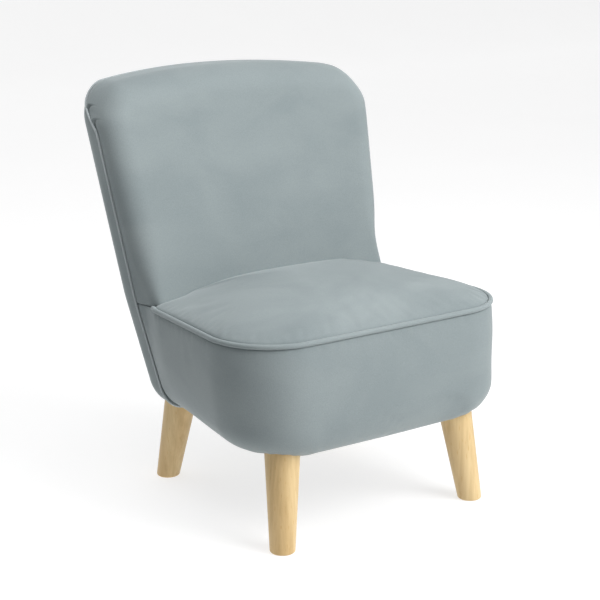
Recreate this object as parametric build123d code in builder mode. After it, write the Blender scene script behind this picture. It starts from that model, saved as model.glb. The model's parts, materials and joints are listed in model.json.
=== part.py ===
"""Child's armless slipper chair: a crowned seat and a curved, leaning back on four splayed wooden legs."""
import os
from math import cos, radians, sin, sqrt

from build123d import *

os.makedirs("parts", exist_ok=True)

# Driving dimensions in millimetres and degrees. The chair faces -Y and the floor is Z = 0.

# Heights of the upholstered body above the floor
chair_height = 560
body_bottom = 119.5
welt_height = 268

# Seat plan: the front edge ahead of the origin, and the half widths of its sharp corners
seat_front = 217
base_front = 222
front_bow = 2
seat_corner_half = 218
base_corner_half = 216
seat_corner_radius = 83
bottom_edge_radius = 38

# Seat crown: a dome over the welt line
crown_height = 34
crown_centre_y = -40
crown_rear_y = 91
crown_spread = 1.6
crown_softness = 0.575
crown_steps = 9

# Back elevation: half widths at the foot, at the welt and at the shoulders, and its arched crest
back_foot_half = 170
back_waist_half = 196
back_shoulder_half = 222
crest_rise = 17
shoulder_radius = 54
waist_radius = 220

# Back faces: two leaning cylinders, both hollow towards the sitter
rear_base_y = 115.3
rear_lean = 15
rear_radius = 832
back_base_depth = 112
front_lean = 17.3
front_radius = 976
front_edge_radius = 35
rear_edge_radius = 35
seam_depth = 57

# Upholstery layers
cover_thickness = 1.5
soft_gap = 0.3
border_padding = 10
rear_padding = 5
welt_diameter = 6.5
welt_inset = 1.5
welt_end_depth = 78
dust_cover_thickness = 0.8
edge_roll = 14
roll_width = 45
seam_flange = 11
cover_tail_inset = 26

# Wooden frame
glue_gap = 0.2
base_board_thickness = 12
deck_thickness = 12
rail_height = 72
rail_thickness = 22
former_thickness = 3
side_rail_half = 110
corner_block_half = 151
corner_block_length = 100
rear_rail_setback = 45
deck_corner_radius = 30
webbing_width = 50
webbing_thickness = 1.8
webbing_lap = 22
webbing_straps = 3
back_frame_depth = 28
back_skin_thickness = 3
frame_edge_inset = 25
outside_board_inset = 33
back_rail_height = 44
middle_rail_height_above_floor = 372
lower_rail_height_above_floor = 258

# Legs, with their feet on the floor and their splay as a slope
front_foot_half = 154
front_foot_y = -199
rear_foot_half = 132
rear_foot_y = 112
front_splay_side = 0.112
front_splay_ahead = 0.16
rear_splay_side = 0.072
rear_splay_behind = 0.214
leg_foot_radius = 16
leg_top_radius = 23
leg_foot_rounding = 2.5
leg_clearance = 0.5

# Fasteners
bore_clearance = 0.15
hanger_bolt_diameter = 8
hanger_bolt_depth = 38
hanger_bolt_rise = 6
tee_nut_barrel_diameter = 11
tee_nut_barrel_length = 10
tee_nut_flange_diameter = 19
tee_nut_flange_thickness = 1.5
tee_nut_pocket_diameter = 24
tee_nut_pocket_height = 11
screw_diameter = 4
screw_head_diameter = 8
screw_length = 38
screw_head_height = 2.5
screw_spacing = 110
deck_screw_spacing = 150
back_bolt_diameter = 6
back_bolt_head_diameter = 11
back_bolt_head_height = 4
back_bolt_grip = 30
back_bolt_spacing = 33
cross_nut_diameter = 10
cross_nut_length = 18
dowel_diameter = 8
dowel_length = 36
dowel_spacing = 22

# Heights and depths that follow from the sizes above
trim_reach = 3 * chair_height
board_bottom = body_bottom + edge_roll
leg_top = board_bottom - dust_cover_thickness
base_top = board_bottom + base_board_thickness
deck_bottom = base_top + rail_height
deck_top = deck_bottom + deck_thickness
webbing_top = deck_top + 2 * webbing_thickness
foam_bottom = webbing_top + soft_gap
welt_radius = welt_diameter / 2
border_top = welt_height - welt_radius - soft_gap / 2
inner_lining = cover_thickness + soft_gap
former_inset = inner_lining + border_padding + soft_gap
frame_inset = former_inset + former_thickness + soft_gap
outside_board_depth = inner_lining + rear_padding
frame_rear_depth = outside_board_depth + back_skin_thickness + glue_gap
frame_front_depth = frame_rear_depth + back_frame_depth
inside_board_depth = frame_front_depth + glue_gap
back_foam_depth = inside_board_depth + back_skin_thickness + soft_gap
back_top_limit = chair_height - frame_edge_inset
post_half = side_rail_half + glue_gap
front_rail_face = -seat_front + frame_inset + 1
front_rail_rear = front_rail_face + rail_thickness


def leaning_plane(base_y, lean):
    """A plane across the leaning back, with its normal along the lean."""
    tilt = radians(lean)
    return Plane(origin=(0, base_y, body_bottom), x_dir=(1, 0, 0), z_dir=(0, sin(tilt), cos(tilt)))


rear_plane = leaning_plane(rear_base_y, rear_lean)
face_plane = leaning_plane(rear_base_y - back_base_depth, front_lean)


def depth_y(x, z, depth):
    """Y of the point that lies a given depth ahead of the rear face of the back."""
    tilt = radians(rear_lean)
    across = sqrt((rear_radius - depth) ** 2 - x**2) - rear_radius
    return rear_base_y + (across + (z - body_bottom) * sin(tilt)) / cos(tilt)


def ahead_of(depth):
    """Disc whose extrusion is all that lies ahead of a given depth from the rear face."""
    with BuildSketch(rear_plane) as disc:
        with Locations((0, -rear_radius)):
            Circle(rear_radius - depth)
    return disc.sketch


def ahead_of_face(inset):
    """Disc whose extrusion is the sitter's side of the inside back face."""
    with BuildSketch(face_plane) as disc:
        with Locations((0, -front_radius)):
            Circle(front_radius + inset)
    return disc.sketch


def back_outline(inset, rounded_foot=True):
    """Front elevation of the back, offset inwards."""
    shoulder_z = chair_height - crest_rise
    with BuildSketch(Plane.XZ) as outline:
        with BuildLine():
            Polyline(
                (-back_shoulder_half, shoulder_z),
                (-back_waist_half, welt_height),
                (-back_foot_half, body_bottom),
                (back_foot_half, body_bottom),
                (back_waist_half, welt_height),
                (back_shoulder_half, shoulder_z),
            )
            ThreePointArc((-back_shoulder_half, shoulder_z), (0, chair_height), (back_shoulder_half, shoulder_z))
        make_face()
        rows = outline.vertices().group_by(Axis.Y)
        fillet(rows[2], shoulder_radius)
        fillet(outline.vertices().group_by(Axis.Y)[1], waist_radius)
        if rounded_foot:
            fillet(outline.vertices().group_by(Axis.Y)[0], bottom_edge_radius)
        if inset:
            offset(amount=-inset, kind=Kind.INTERSECTION)
    return outline.sketch


def back_slab(inset, outline):
    """The back between its two leaning faces, before its edges are rounded."""
    with BuildPart() as slab:
        extrude(outline, amount=trim_reach, both=True)
        extrude(ahead_of(inset), amount=trim_reach, both=True, mode=Mode.INTERSECT)
        extrude(ahead_of_face(inset), amount=trim_reach, both=True, mode=Mode.SUBTRACT)
    return slab.part


def inside_back_form(inset):
    """The back with the sitter's edge rounded; its foot stays square, hidden behind the seat."""
    with BuildPart() as form:
        add(back_slab(inset, back_outline(inset, rounded_foot=False)))
        front_face = form.faces().sort_by(SortBy.AREA)[-2:].sort_by(Axis.Y)[0]
        fillet(front_face.outer_wire().edges().sort_by(Axis.Z)[1:], front_edge_radius - inset)
    return form.part


def outside_back_form(inset):
    """The back with its whole rear edge rounded, foot included."""
    with BuildPart() as form:
        add(back_slab(inset, back_outline(inset)))
        rear_face = form.faces().sort_by(SortBy.AREA)[-2:].sort_by(Axis.Y)[-1]
        fillet(rear_face.outer_wire().edges(), rear_edge_radius - inset)
    return form.part


def seat_outline(height, inset):
    """Seat plan at a height: bowed front, round front corners, sides that run back to the seam."""
    share = (height - body_bottom) / (welt_height - body_bottom)
    corner_half = base_corner_half + share * (seat_corner_half - base_corner_half)
    seam_half = back_foot_half + share * (back_waist_half - back_foot_half)
    front = -(base_front + share * (seat_front - base_front))
    seam_y = depth_y(seam_half, height, seam_depth)
    rear = depth_y(0, height, 0)
    rear_half = corner_half + (seam_half - corner_half) * (rear - front) / (seam_y - front)
    with BuildSketch(Plane.XY.offset(height)) as outline:
        with BuildLine():
            Polyline((-corner_half, front), (-rear_half, rear), (rear_half, rear), (corner_half, front))
            ThreePointArc((-corner_half, front), (0, front - front_bow), (corner_half, front))
        make_face()
        fillet(outline.vertices().group_by(Axis.Y)[0], seat_corner_radius)
        if inset:
            offset(amount=-inset)
    return outline.sketch


def lower_body(inset, headroom=0):
    """The body below the welt, with a rounded bottom edge; headroom carries it on upwards as a cutter."""
    with BuildPart() as body:
        loft([seat_outline(body_bottom, inset), seat_outline(welt_height, inset)])
        if inset:
            split(bisect_by=Plane.XY.offset(body_bottom + inset), keep=Keep.TOP)
        bottom_edges = body.faces().sort_by(Axis.Z)[0].outer_wire().edges().sort_by(Axis.Y)
        fillet(bottom_edges[:-1], bottom_edge_radius - inset)
        if headroom:
            extrude(seat_outline(welt_height, inset), amount=headroom)
    return body.part


def crown_outline(share, inset):
    """Seat plan at the welt, shrunk towards the middle of the crown and raised with it."""
    seam_y = depth_y(back_waist_half, welt_height, seam_depth)
    slope = (back_waist_half - seat_corner_half) / (seam_y + seat_front)
    corner_half = (seat_corner_half - inset) * share
    rear_half = (seat_corner_half - inset + slope * (crown_rear_y + seat_front)) * share
    front = crown_centre_y + (inset - seat_front - crown_centre_y) * share
    rear = crown_centre_y + (crown_rear_y - crown_centre_y) * share
    rise = (crown_height - inset) * (1 - share**crown_spread) ** crown_softness
    with BuildSketch(Plane.XY.offset(welt_height + rise)) as outline:
        with BuildLine():
            Polyline((-corner_half, front), (-rear_half, rear), (rear_half, rear), (corner_half, front))
            ThreePointArc((-corner_half, front), (0, front - front_bow * share), (corner_half, front))
        make_face()
        fillet(outline.vertices().group_by(Axis.Y)[0], (seat_corner_radius - inset) * share)
    return outline.sketch


def crown_form(inset):
    """The dome of the seat above the welt, in bands that narrow towards its middle."""
    shares = [sin(radians(90 * step / crown_steps)) for step in range(crown_steps, 0, -1)]
    with BuildPart() as dome:
        loft([crown_outline(share, inset) for share in shares], ruled=True)
    return dome.part


def leg_places():
    """Foot and top centre of each leg, by name."""
    places = {}
    for side, sign in (("left", -1), ("right", 1)):
        front_top = (
            sign * (front_foot_half - front_splay_side * leg_top),
            front_foot_y + front_splay_ahead * leg_top,
        )
        rear_top = (
            sign * (rear_foot_half - rear_splay_side * leg_top),
            rear_foot_y - rear_splay_behind * leg_top,
        )
        places["leg_front_" + side] = ((sign * front_foot_half, front_foot_y), front_top)
        places["leg_rear_" + side] = ((sign * rear_foot_half, rear_foot_y), rear_top)
    return places


def leg_taper(foot, top, extra):
    """A splayed, tapered leg with level ends, with room around it where extra is given."""
    with BuildPart() as leg:
        with BuildSketch(Plane.XY):
            with Locations(foot):
                Circle(leg_foot_radius + extra)
        with BuildSketch(Plane.XY.offset(leg_top)):
            with Locations(top):
                Circle(leg_top_radius + extra)
        loft()
    return leg.part


def save(piece, name):
    """Label a finished piece and write its file."""
    piece.part.label = name
    export_step(piece.part, "parts/" + name + ".step")


# Shared forms of the upholstery, from the cover inwards
inside_back_outer = inside_back_form(0)
inside_back_lining = inside_back_form(cover_thickness)
inside_back_filling = inside_back_form(inner_lining)
inside_back_room = inside_back_form(-soft_gap)
outside_back_outer = outside_back_form(0)
outside_back_lining = outside_back_form(cover_thickness)
outside_back_filling = outside_back_form(inner_lining)
lower_outer = lower_body(0)
lower_lining = lower_body(cover_thickness, chair_height)
lower_filling = lower_body(inner_lining, chair_height)
padding_core = lower_body(inner_lining + border_padding, chair_height)
former_outer = lower_body(former_inset, chair_height)
former_inner = lower_body(former_inset + former_thickness, chair_height)
frame_room = lower_body(frame_inset, chair_height)
legs = leg_places()
leg_tops = [top for foot, top in legs.values()]
leg_rooms = [leg_taper(foot, top, leg_clearance) for foot, top in legs.values()]
rear_leg_tops = [top for foot, top in legs.values() if top[1] > 0]


def bores(places, height, diameter):
    """Round sections at each place, on a level plane."""
    with BuildSketch(Plane.XY.offset(height)) as holes:
        with Locations(*places):
            Circle(diameter / 2)
    return holes.sketch


# Legs, each bored for its hanger bolt
for leg_name, (foot, top) in legs.items():
    with BuildPart() as leg:
        add(leg_taper(foot, top, 0))
        fillet(leg.edges().group_by(Axis.Z)[0], leg_foot_rounding)
        bolt_bore = bores([top], leg_top, hanger_bolt_diameter + 2 * bore_clearance)
        extrude(bolt_bore, amount=-hanger_bolt_depth - bore_clearance, mode=Mode.SUBTRACT)
    save(leg, leg_name)

with BuildPart() as hanger_bolts:
    bolt_length = hanger_bolt_depth + base_top + hanger_bolt_rise - leg_top
    extrude(bores(leg_tops, leg_top - hanger_bolt_depth, hanger_bolt_diameter), amount=bolt_length)
save(hanger_bolts, "leg_hanger_bolts")

with BuildPart() as tee_nuts:
    extrude(bores(leg_tops, base_top, tee_nut_flange_diameter), amount=tee_nut_flange_thickness)
    extrude(bores(leg_tops, base_top, tee_nut_barrel_diameter), amount=-tee_nut_barrel_length)
    thread_bore = bores(leg_tops, base_top, hanger_bolt_diameter + 2 * bore_clearance)
    extrude(thread_bore, amount=trim_reach, both=True, mode=Mode.SUBTRACT)
save(tee_nuts, "leg_tee_nuts")

# Places of the screws through the base board and the deck into the rails
side_rail_middle = side_rail_half - rail_thickness / 2
rear_rail_face = depth_y(0, base_top, back_foam_depth) - rear_rail_setback
front_rail_middle = front_rail_face + rail_thickness / 2
rear_rail_middle = rear_rail_face + rail_thickness / 2
side_rail_mid_y = (front_rail_rear + rear_rail_face) / 2


def screw_places(spacing):
    """Two screws in each of the four seat rails."""
    half = spacing / 2
    places = []
    for sign in (-1, 1):
        places.append((sign * half, front_rail_middle))
        places.append((sign * half, rear_rail_middle))
        places.append((sign * side_rail_middle, side_rail_mid_y - half))
        places.append((sign * side_rail_middle, side_rail_mid_y + half))
    return places


base_screw_places = screw_places(screw_spacing)
deck_screw_places = screw_places(deck_screw_spacing)


def screw_set(places, head_height, direction, extra):
    """Countersunk screws with their heads flush at a height, driven up or down."""
    head_plane = Plane.XY.offset(head_height)
    neck_plane = Plane.XY.offset(head_height + direction * screw_head_height)
    with BuildPart() as screws:
        for place in places:
            with BuildSketch(head_plane) as head:
                with Locations(place):
                    Circle(screw_head_diameter / 2 + extra)
            with BuildSketch(neck_plane) as neck:
                with Locations(place):
                    Circle(screw_diameter / 2 + extra)
            loft([head.sketch, neck.sketch])
            extrude(neck.sketch, amount=direction * (screw_length - screw_head_height + extra))
    return screws.part


base_screw_room = screw_set(base_screw_places, board_bottom, 1, bore_clearance)
deck_screw_room = screw_set(deck_screw_places, deck_top, -1, bore_clearance)

with BuildPart() as base_screws:
    add(screw_set(base_screw_places, board_bottom, 1, 0))
save(base_screws, "base_screws")

with BuildPart() as deck_screws:
    add(screw_set(deck_screw_places, deck_top, -1, 0))
save(deck_screws, "deck_screws")

# Bolts through the side rails into cross nuts in the back posts, one above the other
bolt_depth = (frame_rear_depth + frame_front_depth) / 2
bolt_heights = [base_top + rail_height / 2 + sign * back_bolt_spacing / 2 for sign in (-1, 1)]
bolt_rows = [(depth_y(side_rail_half, z, bolt_depth), z) for z in bolt_heights]
rail_inner_half = side_rail_half - rail_thickness
cross_nut_half = side_rail_half + back_bolt_grip - cross_nut_diameter / 2


def bolt_shanks(sign, start_half, length, diameter):
    """Round bars along X at the bolt rows of one side."""
    with BuildPart() as bars:
        with BuildSketch(Plane.YZ.offset(sign * start_half)):
            with Locations(*bolt_rows):
                Circle(diameter / 2)
        extrude(amount=sign * length)
    return bars.part


def nut_barrels(sign, diameter, ahead, behind):
    """Round bars along Y at the bolt rows of one side."""
    with BuildPart() as bars:
        for y, z in bolt_rows:
            with BuildSketch(Plane.XZ.offset(ahead - y)) as section:
                with Locations((sign * cross_nut_half, z)):
                    Circle(diameter / 2)
            extrude(section.sketch, amount=-(ahead + behind))
    return bars.part


bolt_bore_diameter = back_bolt_diameter + 2 * bore_clearance
nut_bore_diameter = cross_nut_diameter + 2 * bore_clearance
bolt_rooms = {}
nut_rooms = {}
for sign in (-1, 1):
    bolt_rooms[sign] = bolt_shanks(sign, rail_inner_half, rail_thickness + back_bolt_grip, bolt_bore_diameter)
    nut_rooms[sign] = nut_barrels(sign, nut_bore_diameter, back_frame_depth, cross_nut_length / 2 + bore_clearance)

with BuildPart() as back_bolts:
    for sign in (-1, 1):
        add(bolt_shanks(sign, rail_inner_half, rail_thickness + back_bolt_grip - bore_clearance, back_bolt_diameter))
        add(bolt_shanks(sign, rail_inner_half, -back_bolt_head_height, back_bolt_head_diameter))
save(back_bolts, "back_bolts")

with BuildPart() as cross_nuts:
    for sign in (-1, 1):
        add(nut_barrels(sign, cross_nut_diameter, cross_nut_length / 2, cross_nut_length / 2))
        add(bolt_rooms[sign], mode=Mode.SUBTRACT)
save(cross_nuts, "back_cross_nuts")

# Base board: plywood on the legs, under rails and back posts
with BuildPart() as base_board:
    extrude(seat_outline(base_top, frame_inset), amount=-base_board_thickness)
    extrude(ahead_of(frame_rear_depth), amount=trim_reach, both=True, mode=Mode.INTERSECT)
    nut_bores = bores(leg_tops, base_top, tee_nut_barrel_diameter + 2 * bore_clearance)
    extrude(nut_bores, amount=trim_reach, both=True, mode=Mode.SUBTRACT)
    add(base_screw_room, mode=Mode.SUBTRACT)
save(base_board, "base_board")


def level_box(half, front, rear, low, high):
    """A block across the middle plane, given by its half width and its limits."""
    with BuildPart() as block:
        with BuildSketch(Plane.XY.offset(low)):
            with Locations((0, (front + rear) / 2)):
                Rectangle(2 * half, rear - front)
        extrude(amount=high - low)
    return block.part


# Seat rails on edge between the base board and the deck
with BuildPart() as front_rail:
    add(level_box(side_rail_half, front_rail_face, front_rail_rear, base_top, deck_bottom))
    add(base_screw_room, mode=Mode.SUBTRACT)
    add(deck_screw_room, mode=Mode.SUBTRACT)
save(front_rail, "seat_rail_front")

with BuildPart() as rear_rail:
    rear_rail_rear = rear_rail_face + rail_thickness
    add(level_box(rail_inner_half - glue_gap, rear_rail_face, rear_rail_rear, base_top, deck_bottom))
    add(base_screw_room, mode=Mode.SUBTRACT)
    add(deck_screw_room, mode=Mode.SUBTRACT)
save(rear_rail, "seat_rail_rear")

for side, sign in (("left", -1), ("right", 1)):
    with BuildPart() as side_rail:
        with BuildSketch(Plane.XY.offset(base_top)):
            with Locations((sign * side_rail_middle, 0)):
                Rectangle(rail_thickness, trim_reach)
        extrude(amount=rail_height)
        split(bisect_by=Plane.XZ.offset(-front_rail_rear - glue_gap), keep=Keep.BOTTOM)
        extrude(ahead_of(frame_rear_depth), amount=trim_reach, both=True, mode=Mode.INTERSECT)
        add(base_screw_room, mode=Mode.SUBTRACT)
        add(deck_screw_room, mode=Mode.SUBTRACT)
        add(bolt_rooms[sign], mode=Mode.SUBTRACT)
    save(side_rail, "seat_rail_" + side)

# Round-faced blocks that carry the border former around the front corners
with BuildPart() as corner_blocks:
    add(frame_room)
    split(bisect_by=Plane.XY.offset(base_top), keep=Keep.TOP)
    split(bisect_by=Plane.XY.offset(deck_bottom), keep=Keep.BOTTOM)
    split(bisect_by=Plane.XZ.offset(seat_front - corner_block_length), keep=Keep.TOP)
    add(level_box(corner_block_half, -trim_reach, trim_reach, 0, chair_height), mode=Mode.SUBTRACT)
save(corner_blocks, "corner_blocks")

# Deck: a plywood ring over the rails, its opening bridged by webbing
opening_middle = (front_rail_rear + rear_rail_face) / 2
opening_length = rear_rail_face - front_rail_rear
opening_width = 2 * rail_inner_half
with BuildPart() as deck:
    add(frame_room)
    split(bisect_by=Plane.XY.offset(deck_bottom), keep=Keep.TOP)
    split(bisect_by=Plane.XY.offset(deck_top), keep=Keep.BOTTOM)
    extrude(ahead_of(seam_depth + soft_gap), amount=trim_reach, both=True, mode=Mode.INTERSECT)
    with BuildSketch(Plane.XY.offset(deck_top)):
        with Locations((0, opening_middle)):
            RectangleRounded(opening_width, opening_length, deck_corner_radius)
    extrude(amount=-deck_thickness, mode=Mode.SUBTRACT)
    add(deck_screw_room, mode=Mode.SUBTRACT)
save(deck, "seat_deck")

with BuildPart() as cross_webbing:
    with BuildSketch(Plane.XY.offset(deck_top)):
        with Locations((0, opening_middle)):
            with GridLocations(0, opening_length / webbing_straps, 1, webbing_straps):
                Rectangle(opening_width + 2 * webbing_lap, webbing_width)
    extrude(amount=webbing_thickness)
save(cross_webbing, "seat_webbing_cross")

with BuildPart() as long_webbing:
    with BuildSketch(Plane.XY.offset(deck_top + webbing_thickness)):
        with Locations((0, opening_middle)):
            with GridLocations(opening_width / webbing_straps, 0, webbing_straps, 1):
                Rectangle(webbing_width, opening_length + 2 * webbing_lap)
    extrude(amount=webbing_thickness)
save(long_webbing, "seat_webbing_long")

# Border former: a thin strip bent around the boards and the corner blocks
with BuildPart() as border_former:
    add(former_outer)
    add(former_inner, mode=Mode.SUBTRACT)
    split(bisect_by=Plane.XY.offset(base_top + glue_gap), keep=Keep.TOP)
    split(bisect_by=Plane.XY.offset(deck_top), keep=Keep.BOTTOM)
    extrude(ahead_of(seam_depth + soft_gap), amount=trim_reach, both=True, mode=Mode.INTERSECT)
save(border_former, "border_former")


def back_frame_blank(near_depth, far_depth, inset):
    """A curved blank between two depths, cut to the outline of the back."""
    with BuildPart() as blank:
        extrude(back_outline(inset, rounded_foot=False), amount=-trim_reach)
        extrude(ahead_of(near_depth), amount=trim_reach, both=True, mode=Mode.INTERSECT)
        extrude(ahead_of(far_depth), amount=trim_reach, both=True, mode=Mode.SUBTRACT)
    return blank.part


# Back frame: two shaped posts and three curved rails, joined by dowels
frame_blank = back_frame_blank(frame_rear_depth, frame_front_depth, frame_edge_inset)
back_rails = {
    "back_rail_top": back_top_limit - back_rail_height / 2,
    "back_rail_middle": middle_rail_height_above_floor,
    "back_rail_lower": lower_rail_height_above_floor,
}


def dowel_set(length, diameter):
    """Two dowels through each end of each back rail, along X."""
    with BuildPart() as dowels:
        for height in back_rails.values():
            for level in (height - dowel_spacing / 2, height + dowel_spacing / 2):
                row_y = depth_y(side_rail_half, level, bolt_depth)
                for sign in (-1, 1):
                    with BuildSketch(Plane.YZ.offset(sign * (side_rail_half - length / 2))) as section:
                        with Locations((row_y, level)):
                            Circle(diameter / 2)
                    extrude(section.sketch, amount=sign * length)
    return dowels.part


dowel_room = dowel_set(dowel_length + 2 * bore_clearance, dowel_diameter + 2 * bore_clearance)

with BuildPart() as dowels:
    add(dowel_set(dowel_length, dowel_diameter))
save(dowels, "back_dowels")

for side, sign in (("left", -1), ("right", 1)):
    with BuildPart() as post:
        add(frame_blank)
        split(bisect_by=Plane.XY.offset(base_top), keep=Keep.TOP)
        split(bisect_by=Plane.YZ.offset(sign * post_half), keep=Keep.TOP if sign > 0 else Keep.BOTTOM)
        pockets = bores(rear_leg_tops, base_top, tee_nut_pocket_diameter)
        extrude(pockets, amount=tee_nut_pocket_height, mode=Mode.SUBTRACT)
        add(bolt_rooms[sign], mode=Mode.SUBTRACT)
        add(nut_rooms[sign], mode=Mode.SUBTRACT)
        add(dowel_room, mode=Mode.SUBTRACT)
    save(post, "back_post_" + side)

for rail_name, height in back_rails.items():
    with BuildPart() as back_rail:
        add(frame_blank)
        split(bisect_by=Plane.XY.offset(height - back_rail_height / 2), keep=Keep.TOP)
        split(bisect_by=Plane.XY.offset(height + back_rail_height / 2), keep=Keep.BOTTOM)
        split(bisect_by=Plane.YZ.offset(-side_rail_half), keep=Keep.TOP)
        split(bisect_by=Plane.YZ.offset(side_rail_half), keep=Keep.BOTTOM)
        add(dowel_room, mode=Mode.SUBTRACT)
    save(back_rail, rail_name)

# Thin boards bent over the back frame, inside and outside
with BuildPart() as inside_board:
    add(back_frame_blank(inside_board_depth, inside_board_depth + back_skin_thickness, frame_edge_inset))
    split(bisect_by=Plane.XY.offset(deck_bottom), keep=Keep.TOP)
save(inside_board, "inside_back_board")

with BuildPart() as outside_board:
    add(back_frame_blank(outside_board_depth, outside_board_depth + back_skin_thickness, outside_board_inset))
save(outside_board, "outside_back_board")

# Dust cover between the base board and the legs
with BuildPart() as dust_cover:
    extrude(seat_outline(base_top, frame_inset), amount=-base_board_thickness - dust_cover_thickness)
    split(bisect_by=Plane.XY.offset(board_bottom), keep=Keep.BOTTOM)
    extrude(ahead_of(frame_rear_depth), amount=trim_reach, both=True, mode=Mode.INTERSECT)
    dust_bores = bores(leg_tops, board_bottom, hanger_bolt_diameter + 2 * bore_clearance)
    extrude(dust_bores, amount=-dust_cover_thickness, mode=Mode.SUBTRACT)
save(dust_cover, "dust_cover")

# Room that the padding leaves for the base board with its dust cover
with BuildPart() as board_room:
    extrude(seat_outline(base_top + soft_gap, frame_inset - soft_gap), amount=leg_top - base_top - 2 * soft_gap)
    extrude(ahead_of(frame_rear_depth - soft_gap), amount=trim_reach, both=True, mode=Mode.INTERSECT)

# Border: a foam strip around the frame and its cover, both rolled under the bottom edge
seam_edge = seam_depth + soft_gap / 2
turn_up_top = leg_top - soft_gap


def bottom_opening(inset):
    """The open underside inside the rolled edge."""
    with BuildPart() as opening:
        extrude(seat_outline(body_bottom, inset), amount=turn_up_top - body_bottom)
        rear_limit = seam_depth + seam_flange + inset - roll_width
        extrude(ahead_of(rear_limit), amount=trim_reach, both=True, mode=Mode.INTERSECT)
    return opening.part


with BuildPart() as foam_core:
    add(padding_core)
    split(bisect_by=Plane.XY.offset(base_top), keep=Keep.TOP)

with BuildPart() as border_foam:
    add(lower_filling)
    split(bisect_by=Plane.XY.offset(border_top), keep=Keep.BOTTOM)
    add(foam_core.part, mode=Mode.SUBTRACT)
    add(board_room.part, mode=Mode.SUBTRACT)
    add(bottom_opening(roll_width - inner_lining), mode=Mode.SUBTRACT)
    add(leg_rooms, mode=Mode.SUBTRACT)
    extrude(ahead_of(seam_edge), amount=trim_reach, both=True, mode=Mode.INTERSECT)
save(border_foam, "border_foam")

with BuildPart() as border_cover:
    add(lower_outer)
    split(bisect_by=Plane.XY.offset(border_top), keep=Keep.BOTTOM)
    add(lower_lining, mode=Mode.SUBTRACT)
    add(bottom_opening(roll_width - cover_thickness))
    add(bottom_opening(roll_width), mode=Mode.SUBTRACT)
    add(leg_rooms, mode=Mode.SUBTRACT)
    extrude(ahead_of(seam_edge), amount=trim_reach, both=True, mode=Mode.INTERSECT)
save(border_cover, "seat_border_cover")

# Seat: a crowned foam that stands on the webbing, its cover and the welt around it
crown_low = welt_height + welt_radius + soft_gap
with BuildPart() as foam_body:
    add(former_outer)
    split(bisect_by=Plane.XY.offset(foam_bottom), keep=Keep.TOP)
    split(bisect_by=Plane.XY.offset(crown_low), keep=Keep.BOTTOM)

with BuildPart() as seat_foam:
    add(crown_form(inner_lining))
    split(bisect_by=Plane.XY.offset(crown_low), keep=Keep.TOP)
    add(foam_body.part)
    add(inside_back_room, mode=Mode.SUBTRACT)
    extrude(ahead_of(welt_end_depth), amount=trim_reach, both=True, mode=Mode.INTERSECT)
save(seat_foam, "seat_foam")

with BuildPart() as seat_cover:
    add(crown_form(0))
    split(bisect_by=Plane.XY.offset(crown_low), keep=Keep.TOP)
    add(crown_form(cover_thickness), mode=Mode.SUBTRACT)
    add(inside_back_room, mode=Mode.SUBTRACT)
    extrude(ahead_of(welt_end_depth), amount=trim_reach, both=True, mode=Mode.INTERSECT)
save(seat_cover, "seat_top_cover")

with BuildPart() as seat_welt:
    with BuildLine() as welt_path:
        add(seat_outline(welt_height, welt_inset).edges().sort_by(Axis.Y)[:-1])
    welt_start = welt_path.wires()[0] ^ 0
    with BuildSketch(Plane(origin=welt_start.position, z_dir=welt_start.z_axis.direction)):
        Circle(welt_radius)
    sweep(path=welt_path.wires()[0])
    add(inside_back_room, mode=Mode.SUBTRACT)
    extrude(ahead_of(welt_end_depth), amount=trim_reach, both=True, mode=Mode.INTERSECT)
save(seat_welt, "seat_welt")

# Inside back: the cover ahead of the seam with a tail behind the seat, and the foam in it
tail_half = back_waist_half - cover_tail_inset
foam_low = border_top + soft_gap
with BuildPart() as back_limits:
    add(level_box(trim_reach, -trim_reach, trim_reach, foam_low, trim_reach))
    add(level_box(tail_half, -trim_reach, trim_reach, foam_bottom, foam_low))

with BuildPart() as inside_cover:
    add(inside_back_outer)
    add(inside_back_lining, mode=Mode.SUBTRACT)
    extrude(ahead_of(seam_edge), amount=trim_reach, both=True, mode=Mode.INTERSECT)
    add(back_limits.part, mode=Mode.INTERSECT)
save(inside_cover, "inside_back_cover")

with BuildPart() as foam_reach:
    extrude(back_outline(frame_edge_inset, rounded_foot=False), amount=-trim_reach)
    extrude(ahead_of(back_foam_depth), amount=trim_reach, both=True, mode=Mode.INTERSECT)
    extrude(ahead_of(seam_edge), amount=trim_reach, both=True)

with BuildPart() as back_foam:
    add(inside_back_filling)
    add(foam_reach.part, mode=Mode.INTERSECT)
    add(back_limits.part, mode=Mode.INTERSECT)
save(back_foam, "back_foam")

# Outside back: the cover behind the seam, and a thin pad between it and the frame
with BuildPart() as outside_cover:
    add(outside_back_outer)
    add(outside_back_lining, mode=Mode.SUBTRACT)
    extrude(ahead_of(seam_depth - soft_gap / 2), amount=trim_reach, both=True, mode=Mode.SUBTRACT)
    add(leg_rooms, mode=Mode.SUBTRACT)
save(outside_cover, "outside_back_cover")


def frame_pocket(inset, depth):
    """The room for a frame layer inside the rear pad."""
    with BuildPart() as pocket:
        extrude(back_outline(inset - soft_gap, rounded_foot=False), amount=-trim_reach)
        extrude(ahead_of(depth - soft_gap), amount=trim_reach, both=True, mode=Mode.INTERSECT)
    return pocket.part


with BuildPart() as rear_pad:
    add(outside_back_filling)
    extrude(ahead_of(seam_depth - soft_gap / 2), amount=trim_reach, both=True, mode=Mode.SUBTRACT)
    add(frame_pocket(frame_edge_inset, frame_rear_depth), mode=Mode.SUBTRACT)
    add(frame_pocket(outside_board_inset, outside_board_depth), mode=Mode.SUBTRACT)
    add(board_room.part, mode=Mode.SUBTRACT)
    add(leg_rooms, mode=Mode.SUBTRACT)
save(rear_pad, "back_rear_pad")
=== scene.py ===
"""Visual model of the child's armless chair: soft covers, welt and seams over the CAD frame."""
import json
import math

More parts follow.
